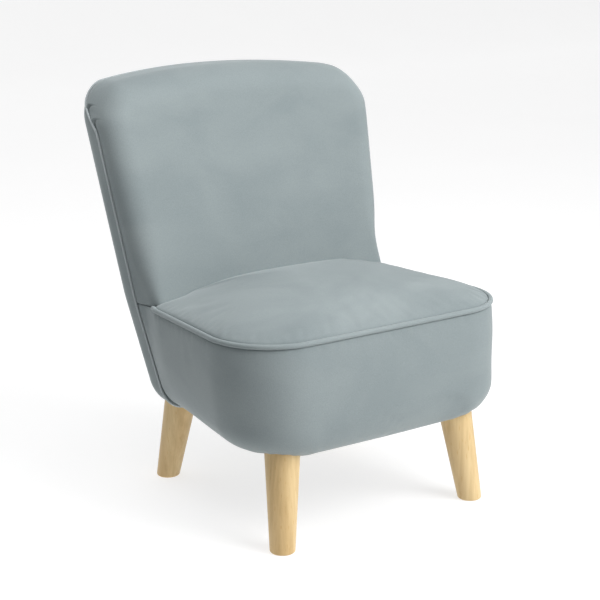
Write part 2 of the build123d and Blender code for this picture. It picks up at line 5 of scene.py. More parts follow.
import bpy
import numpy as np
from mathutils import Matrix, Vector


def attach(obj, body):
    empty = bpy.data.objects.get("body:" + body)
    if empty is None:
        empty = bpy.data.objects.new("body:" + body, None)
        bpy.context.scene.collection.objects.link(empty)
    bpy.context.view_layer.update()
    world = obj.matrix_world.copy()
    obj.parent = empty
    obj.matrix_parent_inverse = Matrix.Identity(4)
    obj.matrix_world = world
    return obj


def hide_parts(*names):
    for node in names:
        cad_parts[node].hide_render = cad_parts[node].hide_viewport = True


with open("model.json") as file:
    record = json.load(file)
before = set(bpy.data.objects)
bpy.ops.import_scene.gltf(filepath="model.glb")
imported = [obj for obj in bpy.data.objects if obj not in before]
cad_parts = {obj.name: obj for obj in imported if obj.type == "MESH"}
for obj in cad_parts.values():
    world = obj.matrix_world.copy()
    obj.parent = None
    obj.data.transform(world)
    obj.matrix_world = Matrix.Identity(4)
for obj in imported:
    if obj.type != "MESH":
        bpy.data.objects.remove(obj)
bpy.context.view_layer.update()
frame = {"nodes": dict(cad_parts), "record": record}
nodes = frame["nodes"]
MM = 0.001

# Sizes of the solids in millimetres, and leans in radians. The chair faces -Y and the floor is Z = 0.
CHAIR_HEIGHT = 560
BODY_BOTTOM = 119.5
WELT_HEIGHT = 268
SEAT_FRONT, BASE_FRONT, FRONT_BOW = 217, 222, 2
SEAT_CORNER_HALF, BASE_CORNER_HALF, SEAT_CORNER_RADIUS = 218, 216, 83
BOTTOM_RADIUS, ROLL_WIDTH = 38, 45
CROWN_CENTRE_Y, CROWN_SPREAD = -40, 1.6
BACK_FOOT_HALF, BACK_WAIST_HALF, BACK_SHOULDER_HALF = 170, 196, 222
CREST_RISE, WAIST_RADIUS = 17, 220
SHOULDER_HEIGHT = CHAIR_HEIGHT - CREST_RISE
REAR_BASE_Y, REAR_LEAN, REAR_RADIUS = 115.3, math.radians(15), 832
BACK_BASE_DEPTH, FRONT_LEAN, FRONT_RADIUS = 112, math.radians(17.3), 976
EDGE_RADIUS = 35
WELT_RADIUS, WELT_INSET = 3.25, 1.5

# Right legs: where the axis meets the floor and where it ends, at the height of the leg's top.
FRONT_LEG = ((154, -199), (139.14, -177.77))
REAR_LEG = ((132, 112), (122.45, 83.6))
LEG_TOP, LEG_FOOT_RADIUS, LEG_TOP_RADIUS = 132.7, 16, 23

# Soft sizes in millimetres, as the photograph shows them.
CROWN_HEIGHT, CROWN_SOFTNESS = 36.5, 0.56
SHOULDER_RADIUS = 44
FOOT_EDGE_RADIUS, EDGE_TURN_HEIGHT = 20, 80
PAD, THIN_PAD = 6, 4.5
WAIST_TUCK = 4

# Seam of the back: its depth ahead of the rear face, the levels where it turns behind the crest, its pinch.
SEAM_DEPTH, CREST_SEAM_DEPTH, SEAM_TURN = 50, 18, (480, 538)
SEAM_PINCH, SEAM_PINCH_REACH, SEAM_CLEARANCE = 0.6, 4.5, 0.1
SEAM_RADIUS, SEAM_PROUD = 1.5, 0.8

# Welt: how far it stands proud, and how its ends dive in beside the back.
WELT_PROUD, WELT_OVERLAP = 1.2, 0.4
WELT_END_DEPTH, WELT_RUN_IN = 96, 6
WELT_DIVE, WELT_DIVE_LENGTH = 3.5, 14

# Border: the rolled edge as levels and insets, then swells, dips and skew in millimetres. Levels down the
# wall, places along it and how far it faces the front are shares from 0 to 1.
BORDER_TOP = WELT_HEIGHT - WELT_RADIUS + WELT_OVERLAP
ROLL_TOP = 132
ROLL_POINTS = (
    (BODY_BOTTOM, BOTTOM_RADIUS + 0.5),
    (BODY_BOTTOM + 0.4, BOTTOM_RADIUS + 4),
    (BODY_BOTTOM + 2.5, ROLL_WIDTH - 1),
    (BODY_BOTTOM + 7, ROLL_WIDTH),
    (ROLL_TOP, ROLL_WIDTH),
)
BORDER_SWELL, BORDER_SWELL_POWER, SWELL_PLACE = 5.0, 0.8, 0.16
RIGHT_SWELL, RIGHT_SWELL_LEVEL, RIGHT_SWELL_SPREAD, RIGHT_SWELL_PLACES = 3.5, 0.8, 0.2, (0.2, 0.45)
TOP_DIP, TOP_DIP_REACH = 0.4, 5
SEAM_DIP, SEAM_DIP_PLACE = 1.2, 0.02
BORDER_TUCK_HEIGHT, TUCK_START, TUCK_END = 30, 0.05, (0.06, 0.16)
BORDER_SKEW, SKEW_LEVELS = 4.0, (0.4, 1.0)
FRONT_SAG, SAG_LEVELS, SAG_FACING = 3.6, (0.72, 1.0), (0.55, 1.0)
BORDER_HALF_LENGTH, BORDER_PUCKER_REACH, BORDER_PUCKER_HEIGHT = 700, 11, 0.4

# Seat: puckers beside the welt, the slump beside the back, as a share of the rise, the dip and gap at its
# end, and the share of a ring from which it counts as reaching the welt.
SEAT_RIM_INSET = 3.2
SEAT_PUCKER_STEP, SEAT_PUCKER_OFFSET, SEAT_PUCKER_START = 5.0, 5, (1, 7)
SEAT_PUCKER_REACH, SEAT_PUCKER_HEIGHT = 9, 0.3
SLUMP_LEFT, SLUMP_RIGHT = 0.44, 0.15
SLUMP_X, SLUMP_WIDTH, SLUMP_REACH, SLUMP_FOLLOW = 150, 60, 55, 25
REAR_DIP, REAR_DIP_REACH, REAR_DIP_RISE = 6, 6, 12
SEAT_REAR_GAP, NEARLY_ONE = 0.5, 0.9999

# Puckers: weight, then length and phase of each wave and of the slower wave that breaks it up.
PUCKER_WAVES = ((1.0, 3.1, 0, 17, 1.3), (0.6, 5.3, 2, 29, 0))

# Gathers around the legs: fine ripples, and a hollow close to the leg, which fade out between two levels.
GATHER_COUNT, GATHER_PHASE = 9, 1.1
GATHER_HEIGHT, GATHER_REACH, GATHER_WIDTH = 0.4, 30, 13
HOLLOW_HEIGHT, HOLLOW_REACH, HOLLOW_WIDTH = 0.8, 22, 9
GATHER_FADE = (BODY_BOTTOM + 6, BODY_BOTTOM + 34)

# Inside back: the gap over the border, the tucks at waist and shoulders, and where the edge takes them.
PANEL_GAP = 0.6
HEM_RADIUS = 8
WAIST_TUCK_HEIGHT = 48
RIGHT_TUCK, RIGHT_TUCK_LEVEL, RIGHT_TUCK_HEIGHT = 6.5, WELT_HEIGHT + 38, 30
SHOULDER_DIP, SHOULDER_DIP_RUN, SHOULDER_DIP_REACH = 3.5, 18, 30
TURN_IN_RUN, TURN_IN_ANGLES = 30, (0.4, 1.5)

# Shoulder pleats: their levels on the seam, the curve of each fold, its lip, its fall and its crease.
PLEAT_LEVELS, PLEAT_RISE, PLEAT_RUN = (495, 512), 11, 7
PLEAT_LIP, PLEAT_LIP_LENGTH = 2.3, 6
PLEAT_FALL, PLEAT_FALL_LENGTH = 2.2, 8
PLEAT_CREASE, PLEAT_EDGE = 1.4, 0.9
PLEAT_FADE = 14
PLEAT_DENSITY, PLEAT_DENSITY_REACH = 3.0, 32

# Cutters that free the covers of the legs: places along a leg, as shares of its height, and their clearance.
CUTTER_SHARES, CUTTER_CLEARANCE, CUTTER_SIDES = (0.5, 0.8, 1.1), 0.4, 48

# Fineness of the meshes: steps along each stretch of a cover.
SIDE_STEPS, CORNER_STEPS, FRONT_STEPS = 60, 30, 60
STRAIGHT_STEPS, ARC_STEPS = 60, 40
WALL_STEPS, ROUND_STEPS = 38, 22
SEAT_RINGS, SEAT_REAR_STEPS, FINE_STEPS, BISECTIONS = 62, 62, 4000, 40
WELT_STEPS, WELT_SIDES, SEAM_SIDES = 420, 14, 10
ARCH_STEPS, ARCH_FINE_STEPS, FRONT_EDGE_STEPS, FACE_RINGS = 210, 1600, 40, 44
LOOP_STEPS, REAR_EDGE_STEPS, REAR_RINGS = 190, 28, 40

# Evening of rings and normals, in points each way, and where the two faces of the back close.
FACE_EVENING, NORMAL_REACH = 9, 4
HUB_SHARE, REAR_HUB_HEIGHT = 0.03, 345

# Cloth: frames that it settles for, and the border's rows and columns that are held.
CLOTH_FRAMES = 20
HELD_TOP_ROWS, HELD_FOOT_ROWS, HELD_COLUMNS = 2, 7, 3

# Studio in millimetres: floor sweep, backdrop and the cards beside the chair.
FLOOR_FRONT, FLOOR_REAR, FLOOR_HALF = -9000, 4000, 11000
SWEEP_RADIUS, SWEEP_TOP, SWEEP_STEPS = 2500, 9000, 25
BACKDROP_RADIUS, BACKDROP_LEVELS, BACKDROP_STEPS = 8000, (-300, 9000), 96
CARD_NEAR, CARD_FAR, CARD_HALF, CARD_HEIGHT = 330, 1650, 900, 2

# Turns a point and its normal, given as x, z, x, z, over to the left side.
MIRROR = np.array([-1, 1, -1, 1])


def depth_y(x, z, depth):
    """Y of the surface a given depth ahead of the rear face of the back."""
    across = np.sqrt((REAR_RADIUS - depth) ** 2 - x**2) - REAR_RADIUS
    return REAR_BASE_Y + (across + (z - BODY_BOTTOM) * math.sin(REAR_LEAN)) / math.cos(REAR_LEAN)


def face_y(x, z):
    """Y of the sitter's face of the back."""
    across = np.sqrt(FRONT_RADIUS**2 - x**2) - FRONT_RADIUS
    rise = (z - BODY_BOTTOM) * math.sin(FRONT_LEAN)
    return REAR_BASE_Y - BACK_BASE_DEPTH + (across + rise) / math.cos(FRONT_LEAN)


def smooth_step(value, low, high):
    """0 at low, 1 at high, with an even turn between them."""
    t = np.clip((value - low) / (high - low), 0, 1)
    return t * t * (3 - 2 * t)


def front_radius(z):
    """Roundness of the back's front edge, which tightens down beside the seat."""
    opened = smooth_step(z, WELT_HEIGHT, WELT_HEIGHT + EDGE_TURN_HEIGHT)
    return FOOT_EDGE_RADIUS + (EDGE_RADIUS - FOOT_EDGE_RADIUS) * opened


def bell(value, centre, width):
    """A bump around a centre."""
    return np.exp(-(((value - centre) / width) ** 2))


def quarter(inset, radius):
    """How far a rounded edge falls back from its face, by the distance in from the outline."""
    short = np.clip(radius - inset, 0, radius)
    return radius - np.sqrt(radius**2 - short**2)


def lengths_along(points):
    """How far along a path each of its points lies."""
    steps = np.linalg.norm(np.diff(points, axis=0), axis=1)
    return np.concatenate([[0], np.cumsum(steps)])


def resample(points, count):
    """Points at even distances along a path."""
    along = lengths_along(points)
    wanted = np.linspace(0, along[-1], count)
    return np.stack([np.interp(wanted, along, points[:, k]) for k in range(points.shape[1])], 1)


def evened(points, reach):
    """Points along a path, each moved to the mean of its neighbours within a reach."""
    before = 2 * points[:1] - points[reach:0:-1]
    after = 2 * points[-1:] - points[-2:-reach - 2:-1]
    padded = np.concatenate([before, points, after])
    share = np.full(2 * reach + 1, 1 / (2 * reach + 1))
    return np.stack([np.convolve(padded[:, k], share, "valid") for k in range(points.shape[1])], 1)


def seat_plan(height, inset):
    """Seat outline at a height from the left seam round the front to the right seam: points and normals."""
    share = (height - BODY_BOTTOM) / (WELT_HEIGHT - BODY_BOTTOM)
    corner = BASE_CORNER_HALF + share * (SEAT_CORNER_HALF - BASE_CORNER_HALF)
    seam_half = BACK_FOOT_HALF + share * (BACK_WAIST_HALF - BACK_FOOT_HALF)
    front = -(BASE_FRONT + share * (SEAT_FRONT - BASE_FRONT))
    seam = np.array([seam_half, depth_y(seam_half, height, SEAM_DEPTH)])
    along = np.array([corner, front]) - seam
    along = along / np.linalg.norm(along)
    normal = np.array([-along[1], along[0]])
    centre_y = front + SEAT_CORNER_RADIUS
    centre_x = seam[0] + along[0] * (centre_y - seam[1]) / along[1] - SEAT_CORNER_RADIUS / normal[0]
    centre = np.array([centre_x, centre_y])
    start = seam - inset * normal
    # Three short steps bring the inset side back to the seam.
    for _ in range(3):
        start = start + along * (depth_y(start[0], height, SEAM_DEPTH) - start[1]) / along[1]
    end = centre + (SEAT_CORNER_RADIUS - inset) * normal
    side = start + np.linspace(0, 1, SIDE_STEPS, endpoint=False)[:, None] * (end - start)
    angles = np.linspace(math.atan2(normal[1], normal[0]), -math.pi / 2, CORNER_STEPS, endpoint=False)
    spokes = np.stack([np.cos(angles), np.sin(angles)], 1)
    across = np.linspace(centre_x, 0, FRONT_STEPS // 2 + 1)
    front_points = np.stack([across, np.full(len(across), front + inset)], 1)
    half = np.concatenate([side, centre + (SEAT_CORNER_RADIUS - inset) * spokes, front_points])
    side_normals = np.tile(normal, (SIDE_STEPS, 1))
    normals = np.concatenate([side_normals, spokes, np.tile([0.0, -1.0], (len(across), 1))])
    half[:, 1] -= FRONT_BOW * np.clip(1 - (half[:, 0] / corner) ** 2, 0, 1) * np.clip(-normals[:, 1], 0, 1)
    points = np.concatenate([half * [-1, 1], half[-2::-1]])
    return points, np.concatenate([normals * [-1, 1], normals[-2::-1]])


def rounded_path(corners):
    """Dense points and outward normals along a path with round inner corners, given as x, z and radius."""
    points = []
    normals = []
    here = np.array(corners[0][:2], float)
    for k in range(1, len(corners)):
        corner = np.array(corners[k][:2], float)
        into = corner - np.array(corners[k - 1][:2], float)
        into = into / np.linalg.norm(into)
        if k == len(corners) - 1:
            begin = corner
        else:
            out = np.array(corners[k + 1][:2], float) - corner
            out = out / np.linalg.norm(out)
            turn = math.acos(np.clip(into @ out, -1, 1))
            begin = corner - into * corners[k][2] * math.tan(turn / 2)
        outward = np.array([into[1], -into[0]])
        for t in np.linspace(0, 1, STRAIGHT_STEPS, endpoint=False):
            points.append(here + t * (begin - here))
            normals.append(outward)
        if k == len(corners) - 1:
            points.append(corner)
            normals.append(outward)
            break
        hub = begin - outward * corners[k][2]
        for t in np.linspace(0, turn, ARC_STEPS, endpoint=False):
            spoke = np.array([
                outward[0] * math.cos(t) - outward[1] * math.sin(t),
                outward[0] * math.sin(t) + outward[1] * math.cos(t),
            ])
            points.append(hub + spoke * corners[k][2])
            normals.append(spoke)
        here = points[-1]
    return np.array(points), np.array(normals)


def back_plan(foot_radius, count):
    """Right half of the back's front elevation, from mid foot to mid crest: points and normals."""
    points, normals = rounded_path([
        (0, BODY_BOTTOM, 0),
        (BACK_FOOT_HALF, BODY_BOTTOM, foot_radius),
        (BACK_WAIST_HALF, WELT_HEIGHT, WAIST_RADIUS),
        (BACK_SHOULDER_HALF, SHOULDER_HEIGHT, SHOULDER_RADIUS),
        (0, SHOULDER_HEIGHT, 0),
    ])
    crest = np.clip(1 - (points[:, 0] / BACK_SHOULDER_HALF) ** 2, 0, 1) * np.clip(normals[:, 1], 0, 1)
    points[:, 1] += CREST_RISE * crest
    both = resample(np.concatenate([points, normals], 1), count)
    normals = both[:, 2:] / np.linalg.norm(both[:, 2:], axis=1)[:, None]
    return both[:, :2], normals


def back_loop():
    """Outline of the back as a closed loop: points, normals and how far round the rear edge its seam lies."""
    half = np.concatenate(back_plan(BOTTOM_RADIUS, LOOP_STEPS), 1)
    loop = np.concatenate([half, half[-2:0:-1] * MIRROR])
    normals = sum(np.roll(loop[:, 2:], shift, 0) for shift in range(-NORMAL_REACH, NORMAL_REACH + 1))
    normals /= np.linalg.norm(normals, axis=1)[:, None]
    return loop[:, :2], normals, seam_angle(loop[:, :2])


def back_half(z):
    """Half width of the back at a height, below its shoulders."""
    shoulder_run = (z - WELT_HEIGHT) * (BACK_SHOULDER_HALF - BACK_WAIST_HALF)
    upper = BACK_WAIST_HALF + shoulder_run / (SHOULDER_HEIGHT - WELT_HEIGHT)
    foot_run = (z - WELT_HEIGHT) * (BACK_WAIST_HALF - BACK_FOOT_HALF)
    lower = BACK_WAIST_HALF + foot_run / (WELT_HEIGHT - BODY_BOTTOM)
    return np.minimum(upper, lower)


def seat_limit(x, z):
    """Y where the seat ends against the back."""
    inside = np.clip(back_half(z) - np.abs(x), 0, None)
    face = face_y(x, z) + quarter(inside, front_radius(z)) - SEAT_REAR_GAP
    return np.minimum(face, depth_y(x, z, WELT_END_DEPTH))


def seam_y(x, z):
    """Y of the back's seam: along the middle of the sides, and behind the crest."""
    depth = SEAM_DEPTH - (SEAM_DEPTH - CREST_SEAM_DEPTH) * smooth_step(z, *SEAM_TURN)
    return depth_y(x, z, depth)


def seam_angle(points):
    """How far round the rear edge the seam lies, 0 where it is still on the flat of the side."""
    gap = depth_y(points[:, 0], points[:, 1], 0) - seam_y(points[:, 0], points[:, 1])
    return np.arcsin(np.clip(1 - gap / EDGE_RADIUS, 0, 1))


def crown_rise(share):
    """How high the seat stands above the welt, by the share of the way out from its middle."""
    return CROWN_HEIGHT * np.clip(1 - share**CROWN_SPREAD, 0, 1) ** CROWN_SOFTNESS


def puckers(along, away, reach, height):
    """Small gathers beside a seam: uneven waves along it that die out away from it."""
    wave = 0
    for weight, length, phase, slow_length, slow_phase in PUCKER_WAVES:
        wave = wave + weight * np.sin(along / length + phase) * np.sin(along / slow_length + slow_phase)
    return height * wave * np.exp(-((away / reach) ** 2))


def shoulder_pleats(along, away, starts):
    """Height of the folds that take up the fullness at a shoulder, by the place along it and off the seam."""
    height = np.zeros_like(along)
    for start in starts:
        past = along - start - PLEAT_RISE * (1 - np.exp(-away / PLEAT_RUN))
        above = smooth_step(past, -PLEAT_EDGE, PLEAT_EDGE)
        lip = PLEAT_LIP * np.exp(-np.clip(past, 0, None) / PLEAT_LIP_LENGTH) * above
        fall = PLEAT_FALL * np.exp(np.clip(past, None, 0) / PLEAT_FALL_LENGTH) * (1 - above)
        fall = fall + PLEAT_CREASE * bell(past, -PLEAT_EDGE, PLEAT_EDGE)
        height += (lip - fall) * np.exp(-((away / PLEAT_FADE) ** 2))
    return height


def leg_centre(leg, z):
    """Where a leg's axis crosses a level, on the right side."""
    foot, top = np.array(leg[0], float), np.array(leg[1], float)
    return foot + (top - foot) * (z / LEG_TOP)


def gather_around_legs(points, leg):
    """Small radiating folds in the cover, close around both legs of a pair."""
    points = np.array(points)
    for sign in (-1, 1):
        hub = leg_centre(leg, BODY_BOTTOM) * [sign, 1]
        away = points[..., :2] - hub
        reach = np.linalg.norm(away, axis=-1)
        turn = np.arctan2(away[..., 1], away[..., 0])
        low = 1 - smooth_step(points[..., 2], *GATHER_FADE)
        ripple = np.sin(GATHER_COUNT * turn + GATHER_PHASE * sign)
        ripple = ripple * bell(reach, GATHER_REACH, GATHER_WIDTH) * low
        hollow = HOLLOW_HEIGHT * bell(reach, HOLLOW_REACH, HOLLOW_WIDTH) * low
        points[..., 2] += GATHER_HEIGHT * ripple + hollow
    return points


def mesh_object(name, points, faces):
    """A smooth-shaded mesh object from points in millimetres."""
    mesh = bpy.data.meshes.new(name)
    mesh.from_pydata((np.asarray(points) * MM).tolist(), [], faces)
    mesh.update()
    mesh.polygons.foreach_set("use_smooth", [True] * len(mesh.polygons))
    obj = bpy.data.objects.new(name, mesh)
    bpy.context.scene.collection.objects.link(obj)
    return obj


def grid_faces(count, width, closed):
    """Quads between rows of points; closed joins row ends."""
    faces = []
    for i in range(count - 1):
        for j in range(width if closed else width - 1):
            k = (j + 1) % width
            faces.append((i * width + j, i * width + k, (i + 1) * width + k, (i + 1) * width + j))
    return faces


def grid_object(name, rows, closed=False, cap=False):
    """A mesh from rows of points; closed joins row ends, and cap closes the last closed row on one point."""
    rows = np.asarray(rows)
    count, width = rows.shape[:2]
    faces = grid_faces(count, width, closed)
    points = rows.reshape(-1, 3)
    if cap:
        hub = len(points)
        points = np.concatenate([points, rows[-1].mean(0)[None]])
        last = (count - 1) * width
        faces += [(last + j, last + (j + 1) % width, hub) for j in range(width)]
    return mesh_object(name, points, faces)


def tube_object(name, path, radius, around):
    """A round tube along a path, with its ends closed."""
    path = np.asarray(path, float)
    ahead = np.gradient(path, axis=0)
    ahead = ahead / np.linalg.norm(ahead, axis=1)[:, None]
    side = np.cross(ahead, [0.0, 0.0, 1.0])
    side = side / np.linalg.norm(side, axis=1)[:, None]
    top = np.cross(side, ahead)
    radius = np.broadcast_to(radius, len(path))
    angles = np.linspace(0, 2 * math.pi, around, endpoint=False)
    spokes = np.cos(angles)[None, :, None] * side[:, None] + np.sin(angles)[None, :, None] * top[:, None]
    rings = path[:, None] + radius[:, None, None] * spokes
    last = (len(path) - 1) * around
    faces = grid_faces(len(path), around, closed=True)
    faces.append(tuple(range(around))[::-1])
    faces.append(tuple(range(last, last + around)))
    return mesh_object(name, rings.reshape(-1, 3), faces)


def square_disc(rings):
    """Square rings of quads that stand for a disc: each point's ring, its share along it, and faces."""
    side = np.arange(-rings, rings + 1)
    u, v = np.meshgrid(side, side, indexing="ij")
    ring = np.maximum(np.abs(u), np.abs(v))
    full = np.maximum(ring, 1)
    place = (7 * full - u) / (8 * full)
    place = np.where(u == ring, (5 * full + v) / (8 * full), place)
    place = np.where(v == -ring, (3 * full + u) / (8 * full), place)
    place = np.where(u == -ring, (full - v) / (8 * full), place)
    width = len(side)
    faces = []
    for i in range(width - 1):
        for j in range(width - 1):
            faces.append((i * width + j, (i + 1) * width + j, (i + 1) * width + j + 1, i * width + j + 1))
    return ring.ravel(), place.ravel(), faces


def make_border():
    """Border: from the welt down the wall, round the edge and up inside the roll, and its held points."""
    wall_bottom = BODY_BOTTOM + BOTTOM_RADIUS
    wall = np.linspace(0, 1, WALL_STEPS, endpoint=False)
    profile = [(BORDER_TOP - (BORDER_TOP - wall_bottom) * t, 0.0) for t in wall]
    for turn in np.linspace(0, math.pi / 2, ROUND_STEPS, endpoint=False):
        profile.append((wall_bottom - BOTTOM_RADIUS * math.sin(turn), BOTTOM_RADIUS * (1 - math.cos(turn))))
    profile += ROLL_POINTS
    rows = []
    for z, inset in profile:
        plan, normals = seat_plan(z, inset)
        below = BORDER_TOP - z
        down = np.clip(below / (BORDER_TOP - BODY_BOTTOM), 0, 1)
        along = np.linspace(-1, 1, len(plan))
        off_seam = 1 - np.abs(along)
        from_seam = smooth_step(off_seam, 0, SWELL_PLACE)
        swell = BORDER_SWELL * np.sin(math.pi * down**BORDER_SWELL_POWER) * from_seam
        low_swell = RIGHT_SWELL * bell(down, RIGHT_SWELL_LEVEL, RIGHT_SWELL_SPREAD)
        swell = swell + low_swell * smooth_step(along, *RIGHT_SWELL_PLACES) * from_seam
        swell = swell - TOP_DIP * bell(below, 0, TOP_DIP_REACH)
        swell = swell - SEAM_DIP * (1 - smooth_step(off_seam, 0, SEAM_DIP_PLACE))
        tuck = smooth_step(off_seam, 0, TUCK_START) * (1 - smooth_step(off_seam, *TUCK_END))
        swell = swell - WAIST_TUCK * bell(z, WELT_HEIGHT, BORDER_TUCK_HEIGHT) * tuck
        gathers = puckers(along * BORDER_HALF_LENGTH, below, BORDER_PUCKER_REACH, BORDER_PUCKER_HEIGHT)
        swell = swell + gathers * from_seam
        plan = plan + normals * swell[:, None]
        plan[:, 0] += BORDER_SKEW * smooth_step(down, *SKEW_LEVELS) * from_seam
        sag = FRONT_SAG * smooth_step(down, *SAG_LEVELS) * smooth_step(-normals[:, 1], *SAG_FACING)
        rows.append(np.column_stack([plan, z - sag]))
    rows = gather_around_legs(rows, FRONT_LEG)
    count, width = rows.shape[:2]
    row, column = np.indices((count, width)).reshape(2, -1)
    held = (row < HELD_TOP_ROWS) | (row >= count - HELD_FOOT_ROWS)
    held = held | (column < HELD_COLUMNS) | (column >= width - HELD_COLUMNS)
    return grid_object("seat_border", rows), held


def make_seat():
    """Seat: rings of the welt line that rise to the crown, cut short at the back, and its held points."""
    rim = seat_plan(WELT_HEIGHT, SEAT_RIM_INSET)[0]
    rear = np.linspace(rim[-1], rim[0], SEAT_REAR_STEPS)[1:]
    welt_end = int(np.argmax(rim[:, 1] < depth_y(rim[:, 0], WELT_HEIGHT, WELT_END_DEPTH)))
    outline = np.concatenate([rim, rear, rim[1:welt_end + 1]])
    hub = np.array([0.0, CROWN_CENTRE_Y])

    fine = np.linspace(0, 1, FINE_STEPS)
    runs = np.diff(fine, prepend=0) * SEAT_CORNER_HALF
    rises = np.diff(crown_rise(fine), prepend=CROWN_HEIGHT)
    walk = np.cumsum(np.hypot(runs, rises))
    ring_share = np.interp(np.linspace(0, walk[-1], SEAT_RINGS + 1), walk, fine)
    ring, place, faces = square_disc(SEAT_RINGS)
    corner = len(rim) // 2 - (FRONT_STEPS + CORNER_STEPS) // 2
    last = len(rim) - 1
    stations = [welt_end, corner, last - corner, last - welt_end, len(outline) - 1]
    station = np.interp(place, np.linspace(0, 1, len(stations)), stations)
    edge = np.stack([np.interp(station, np.arange(len(outline)), outline[:, k]) for k in (0, 1)], 1)

    low, high = np.zeros(len(edge)), np.ones(len(edge))
    for _ in range(BISECTIONS):
        middle = (low + high) / 2
        spot = hub + (edge - hub) * middle[:, None]
        free = spot[:, 1] < seat_limit(spot[:, 0], WELT_HEIGHT + crown_rise(middle))
        low, high = np.where(free, middle, low), np.where(free, high, middle)
    at_welt = high > NEARLY_ONE
    share = ring_share[ring] * np.where(at_welt, 1.0, low)
    points = np.column_stack([hub + (edge - hub) * share[:, None], WELT_HEIGHT + crown_rise(share)])

    from_edge = (1 - share) * np.linalg.norm(edge - hub, axis=1)
    off_welt = from_edge - SEAT_PUCKER_OFFSET
    gathers = puckers(station * SEAT_PUCKER_STEP, off_welt, SEAT_PUCKER_REACH, SEAT_PUCKER_HEIGHT)
    points[:, 2] += gathers * smooth_step(from_edge, *SEAT_PUCKER_START) * at_welt
    limit = seat_limit(points[:, 0], points[:, 2])
    close = np.clip(limit - points[:, 1], 0, None)
    slump = np.where(points[:, 0] < 0, SLUMP_LEFT, SLUMP_RIGHT)
    slump = slump * bell(np.abs(points[:, 0]), SLUMP_X, SLUMP_WIDTH) * bell(close, 0, SLUMP_REACH)
    points[:, 2] -= slump * np.clip(points[:, 2] - WELT_HEIGHT, 0, None)
    points[:, 1] += (seat_limit(points[:, 0], points[:, 2]) - limit) * np.exp(-close / SLUMP_FOLLOW)
    risen = smooth_step(points[:, 2], WELT_HEIGHT, WELT_HEIGHT + REAR_DIP_RISE)
    points[:, 2] -= REAR_DIP * np.exp(-close / REAR_DIP_REACH) * risen
    return mesh_object("seat_cushion", points, faces), ring >= SEAT_RINGS - 1


def make_welt():
    """Welt: a round cord on the seat's edge that dives in beside the back."""
    line = seat_plan(WELT_HEIGHT, WELT_INSET - WELT_PROUD)[0]
    past_end = line[:, 1] - depth_y(line[:, 0], WELT_HEIGHT, WELT_END_DEPTH - WELT_RUN_IN)
    kept = past_end < 0
    path = np.column_stack([line[kept], np.full(kept.sum(), float(WELT_HEIGHT))])
    dive = smooth_step(past_end[kept], -WELT_DIVE_LENGTH, 0)
    path[:, 0] -= np.sign(path[:, 0]) * WELT_DIVE * dive
    return tube_object("seat_welt_cord", resample(path, WELT_STEPS), WELT_RADIUS, WELT_SIDES)


def make_inside_back():
    """Inside back: from the seam forward round the front edge and over the face, down behind the seat."""
    foot_level = BORDER_TOP + PANEL_GAP
    side = np.concatenate(back_plan(HEM_RADIUS, ARCH_FINE_STEPS), 1)
    side = side[side[:, 1] >= foot_level]
    lengths = lengths_along(side[:, :2])
    rising = side[: np.argmax(side[:, 1])]
    pleats = [np.interp(z, rising[:, 1], lengths[: len(rising)]) for z in PLEAT_LEVELS]
    density = 1 + PLEAT_DENSITY * bell(lengths, pleats[-1], PLEAT_DENSITY_REACH)
    spread = np.cumsum(density) - density[0]
    wanted = np.interp(np.linspace(0, spread[-1], ARCH_STEPS), spread, lengths)
    side = np.stack([np.interp(wanted, lengths, side[:, k]) for k in range(4)], 1)
    arch = np.concatenate([side, side[-2::-1] * MIRROR])
    along = np.concatenate([wanted, wanted[-2::-1]])
    points, normals = arch[:, :2], arch[:, 2:] / np.linalg.norm(arch[:, 2:], axis=1)[:, None]

    seam = seam_y(points[:, 0], points[:, 1]) - SEAM_CLEARANCE
    rear = np.minimum(seam, depth_y(points[:, 0], points[:, 1], 0) - EDGE_RADIUS)
    radius = front_radius(points[:, 1])
    flat = rear - (face_y(points[:, 0], points[:, 1]) + radius)
    start = seam_angle(points)
    rear_arc = EDGE_RADIUS * start
    face_ring = evened(evened(points - normals * radius[:, None], FACE_EVENING), FACE_EVENING)
    tuck = WAIST_TUCK * bell(points[:, 1], WELT_HEIGHT, WAIST_TUCK_HEIGHT)
    tuck = tuck + RIGHT_TUCK * (points[:, 0] > 0) * bell(points[:, 1], RIGHT_TUCK_LEVEL, RIGHT_TUCK_HEIGHT)
    dip = SHOULDER_DIP * bell(along, pleats[-1] + SHOULDER_DIP_RUN, SHOULDER_DIP_REACH)
    rows = []
    for t in np.linspace(0, 1, FRONT_EDGE_STEPS, endpoint=False):
        walked = t * (rear_arc + flat + radius * math.pi / 2)
        behind = np.clip(start - walked / EDGE_RADIUS, 0, None)
        ahead = np.clip((walked - rear_arc - flat) / radius, 0, None)
        inset = EDGE_RADIUS * (1 - np.cos(behind))
        lift = shoulder_pleats(along, walked, pleats) - SEAM_PINCH * np.exp(-walked / SEAM_PINCH_REACH)
        turned_in = smooth_step(walked - rear_arc, 0, TURN_IN_RUN) * (1 - smooth_step(ahead, *TURN_IN_ANGLES))
        lift = lift - dip * turned_in
        lift = lift - tuck * turned_in
        ring = points - normals * (inset - lift)[:, None]
        ring = ring + (face_ring - points) * (1 - np.cos(ahead))[:, None]
        y = rear + EDGE_RADIUS * np.sin(behind) - np.clip(walked - rear_arc, 0, flat)
        turned = face_y(ring[:, 0], ring[:, 1]) + radius * (1 - np.sin(ahead))
        rows.append(np.column_stack([ring[:, 0], np.where(ahead > 0, turned, y), ring[:, 1]]))
    hub = np.array([0.0, foot_level])
    for share in np.linspace(1, HUB_SHARE, FACE_RINGS):
        ring = hub + (face_ring - hub) * share
        rows.append(np.column_stack([ring[:, 0], face_y(ring[:, 0], ring[:, 1]), ring[:, 1]]))
    return grid_object("inside_back", rows)


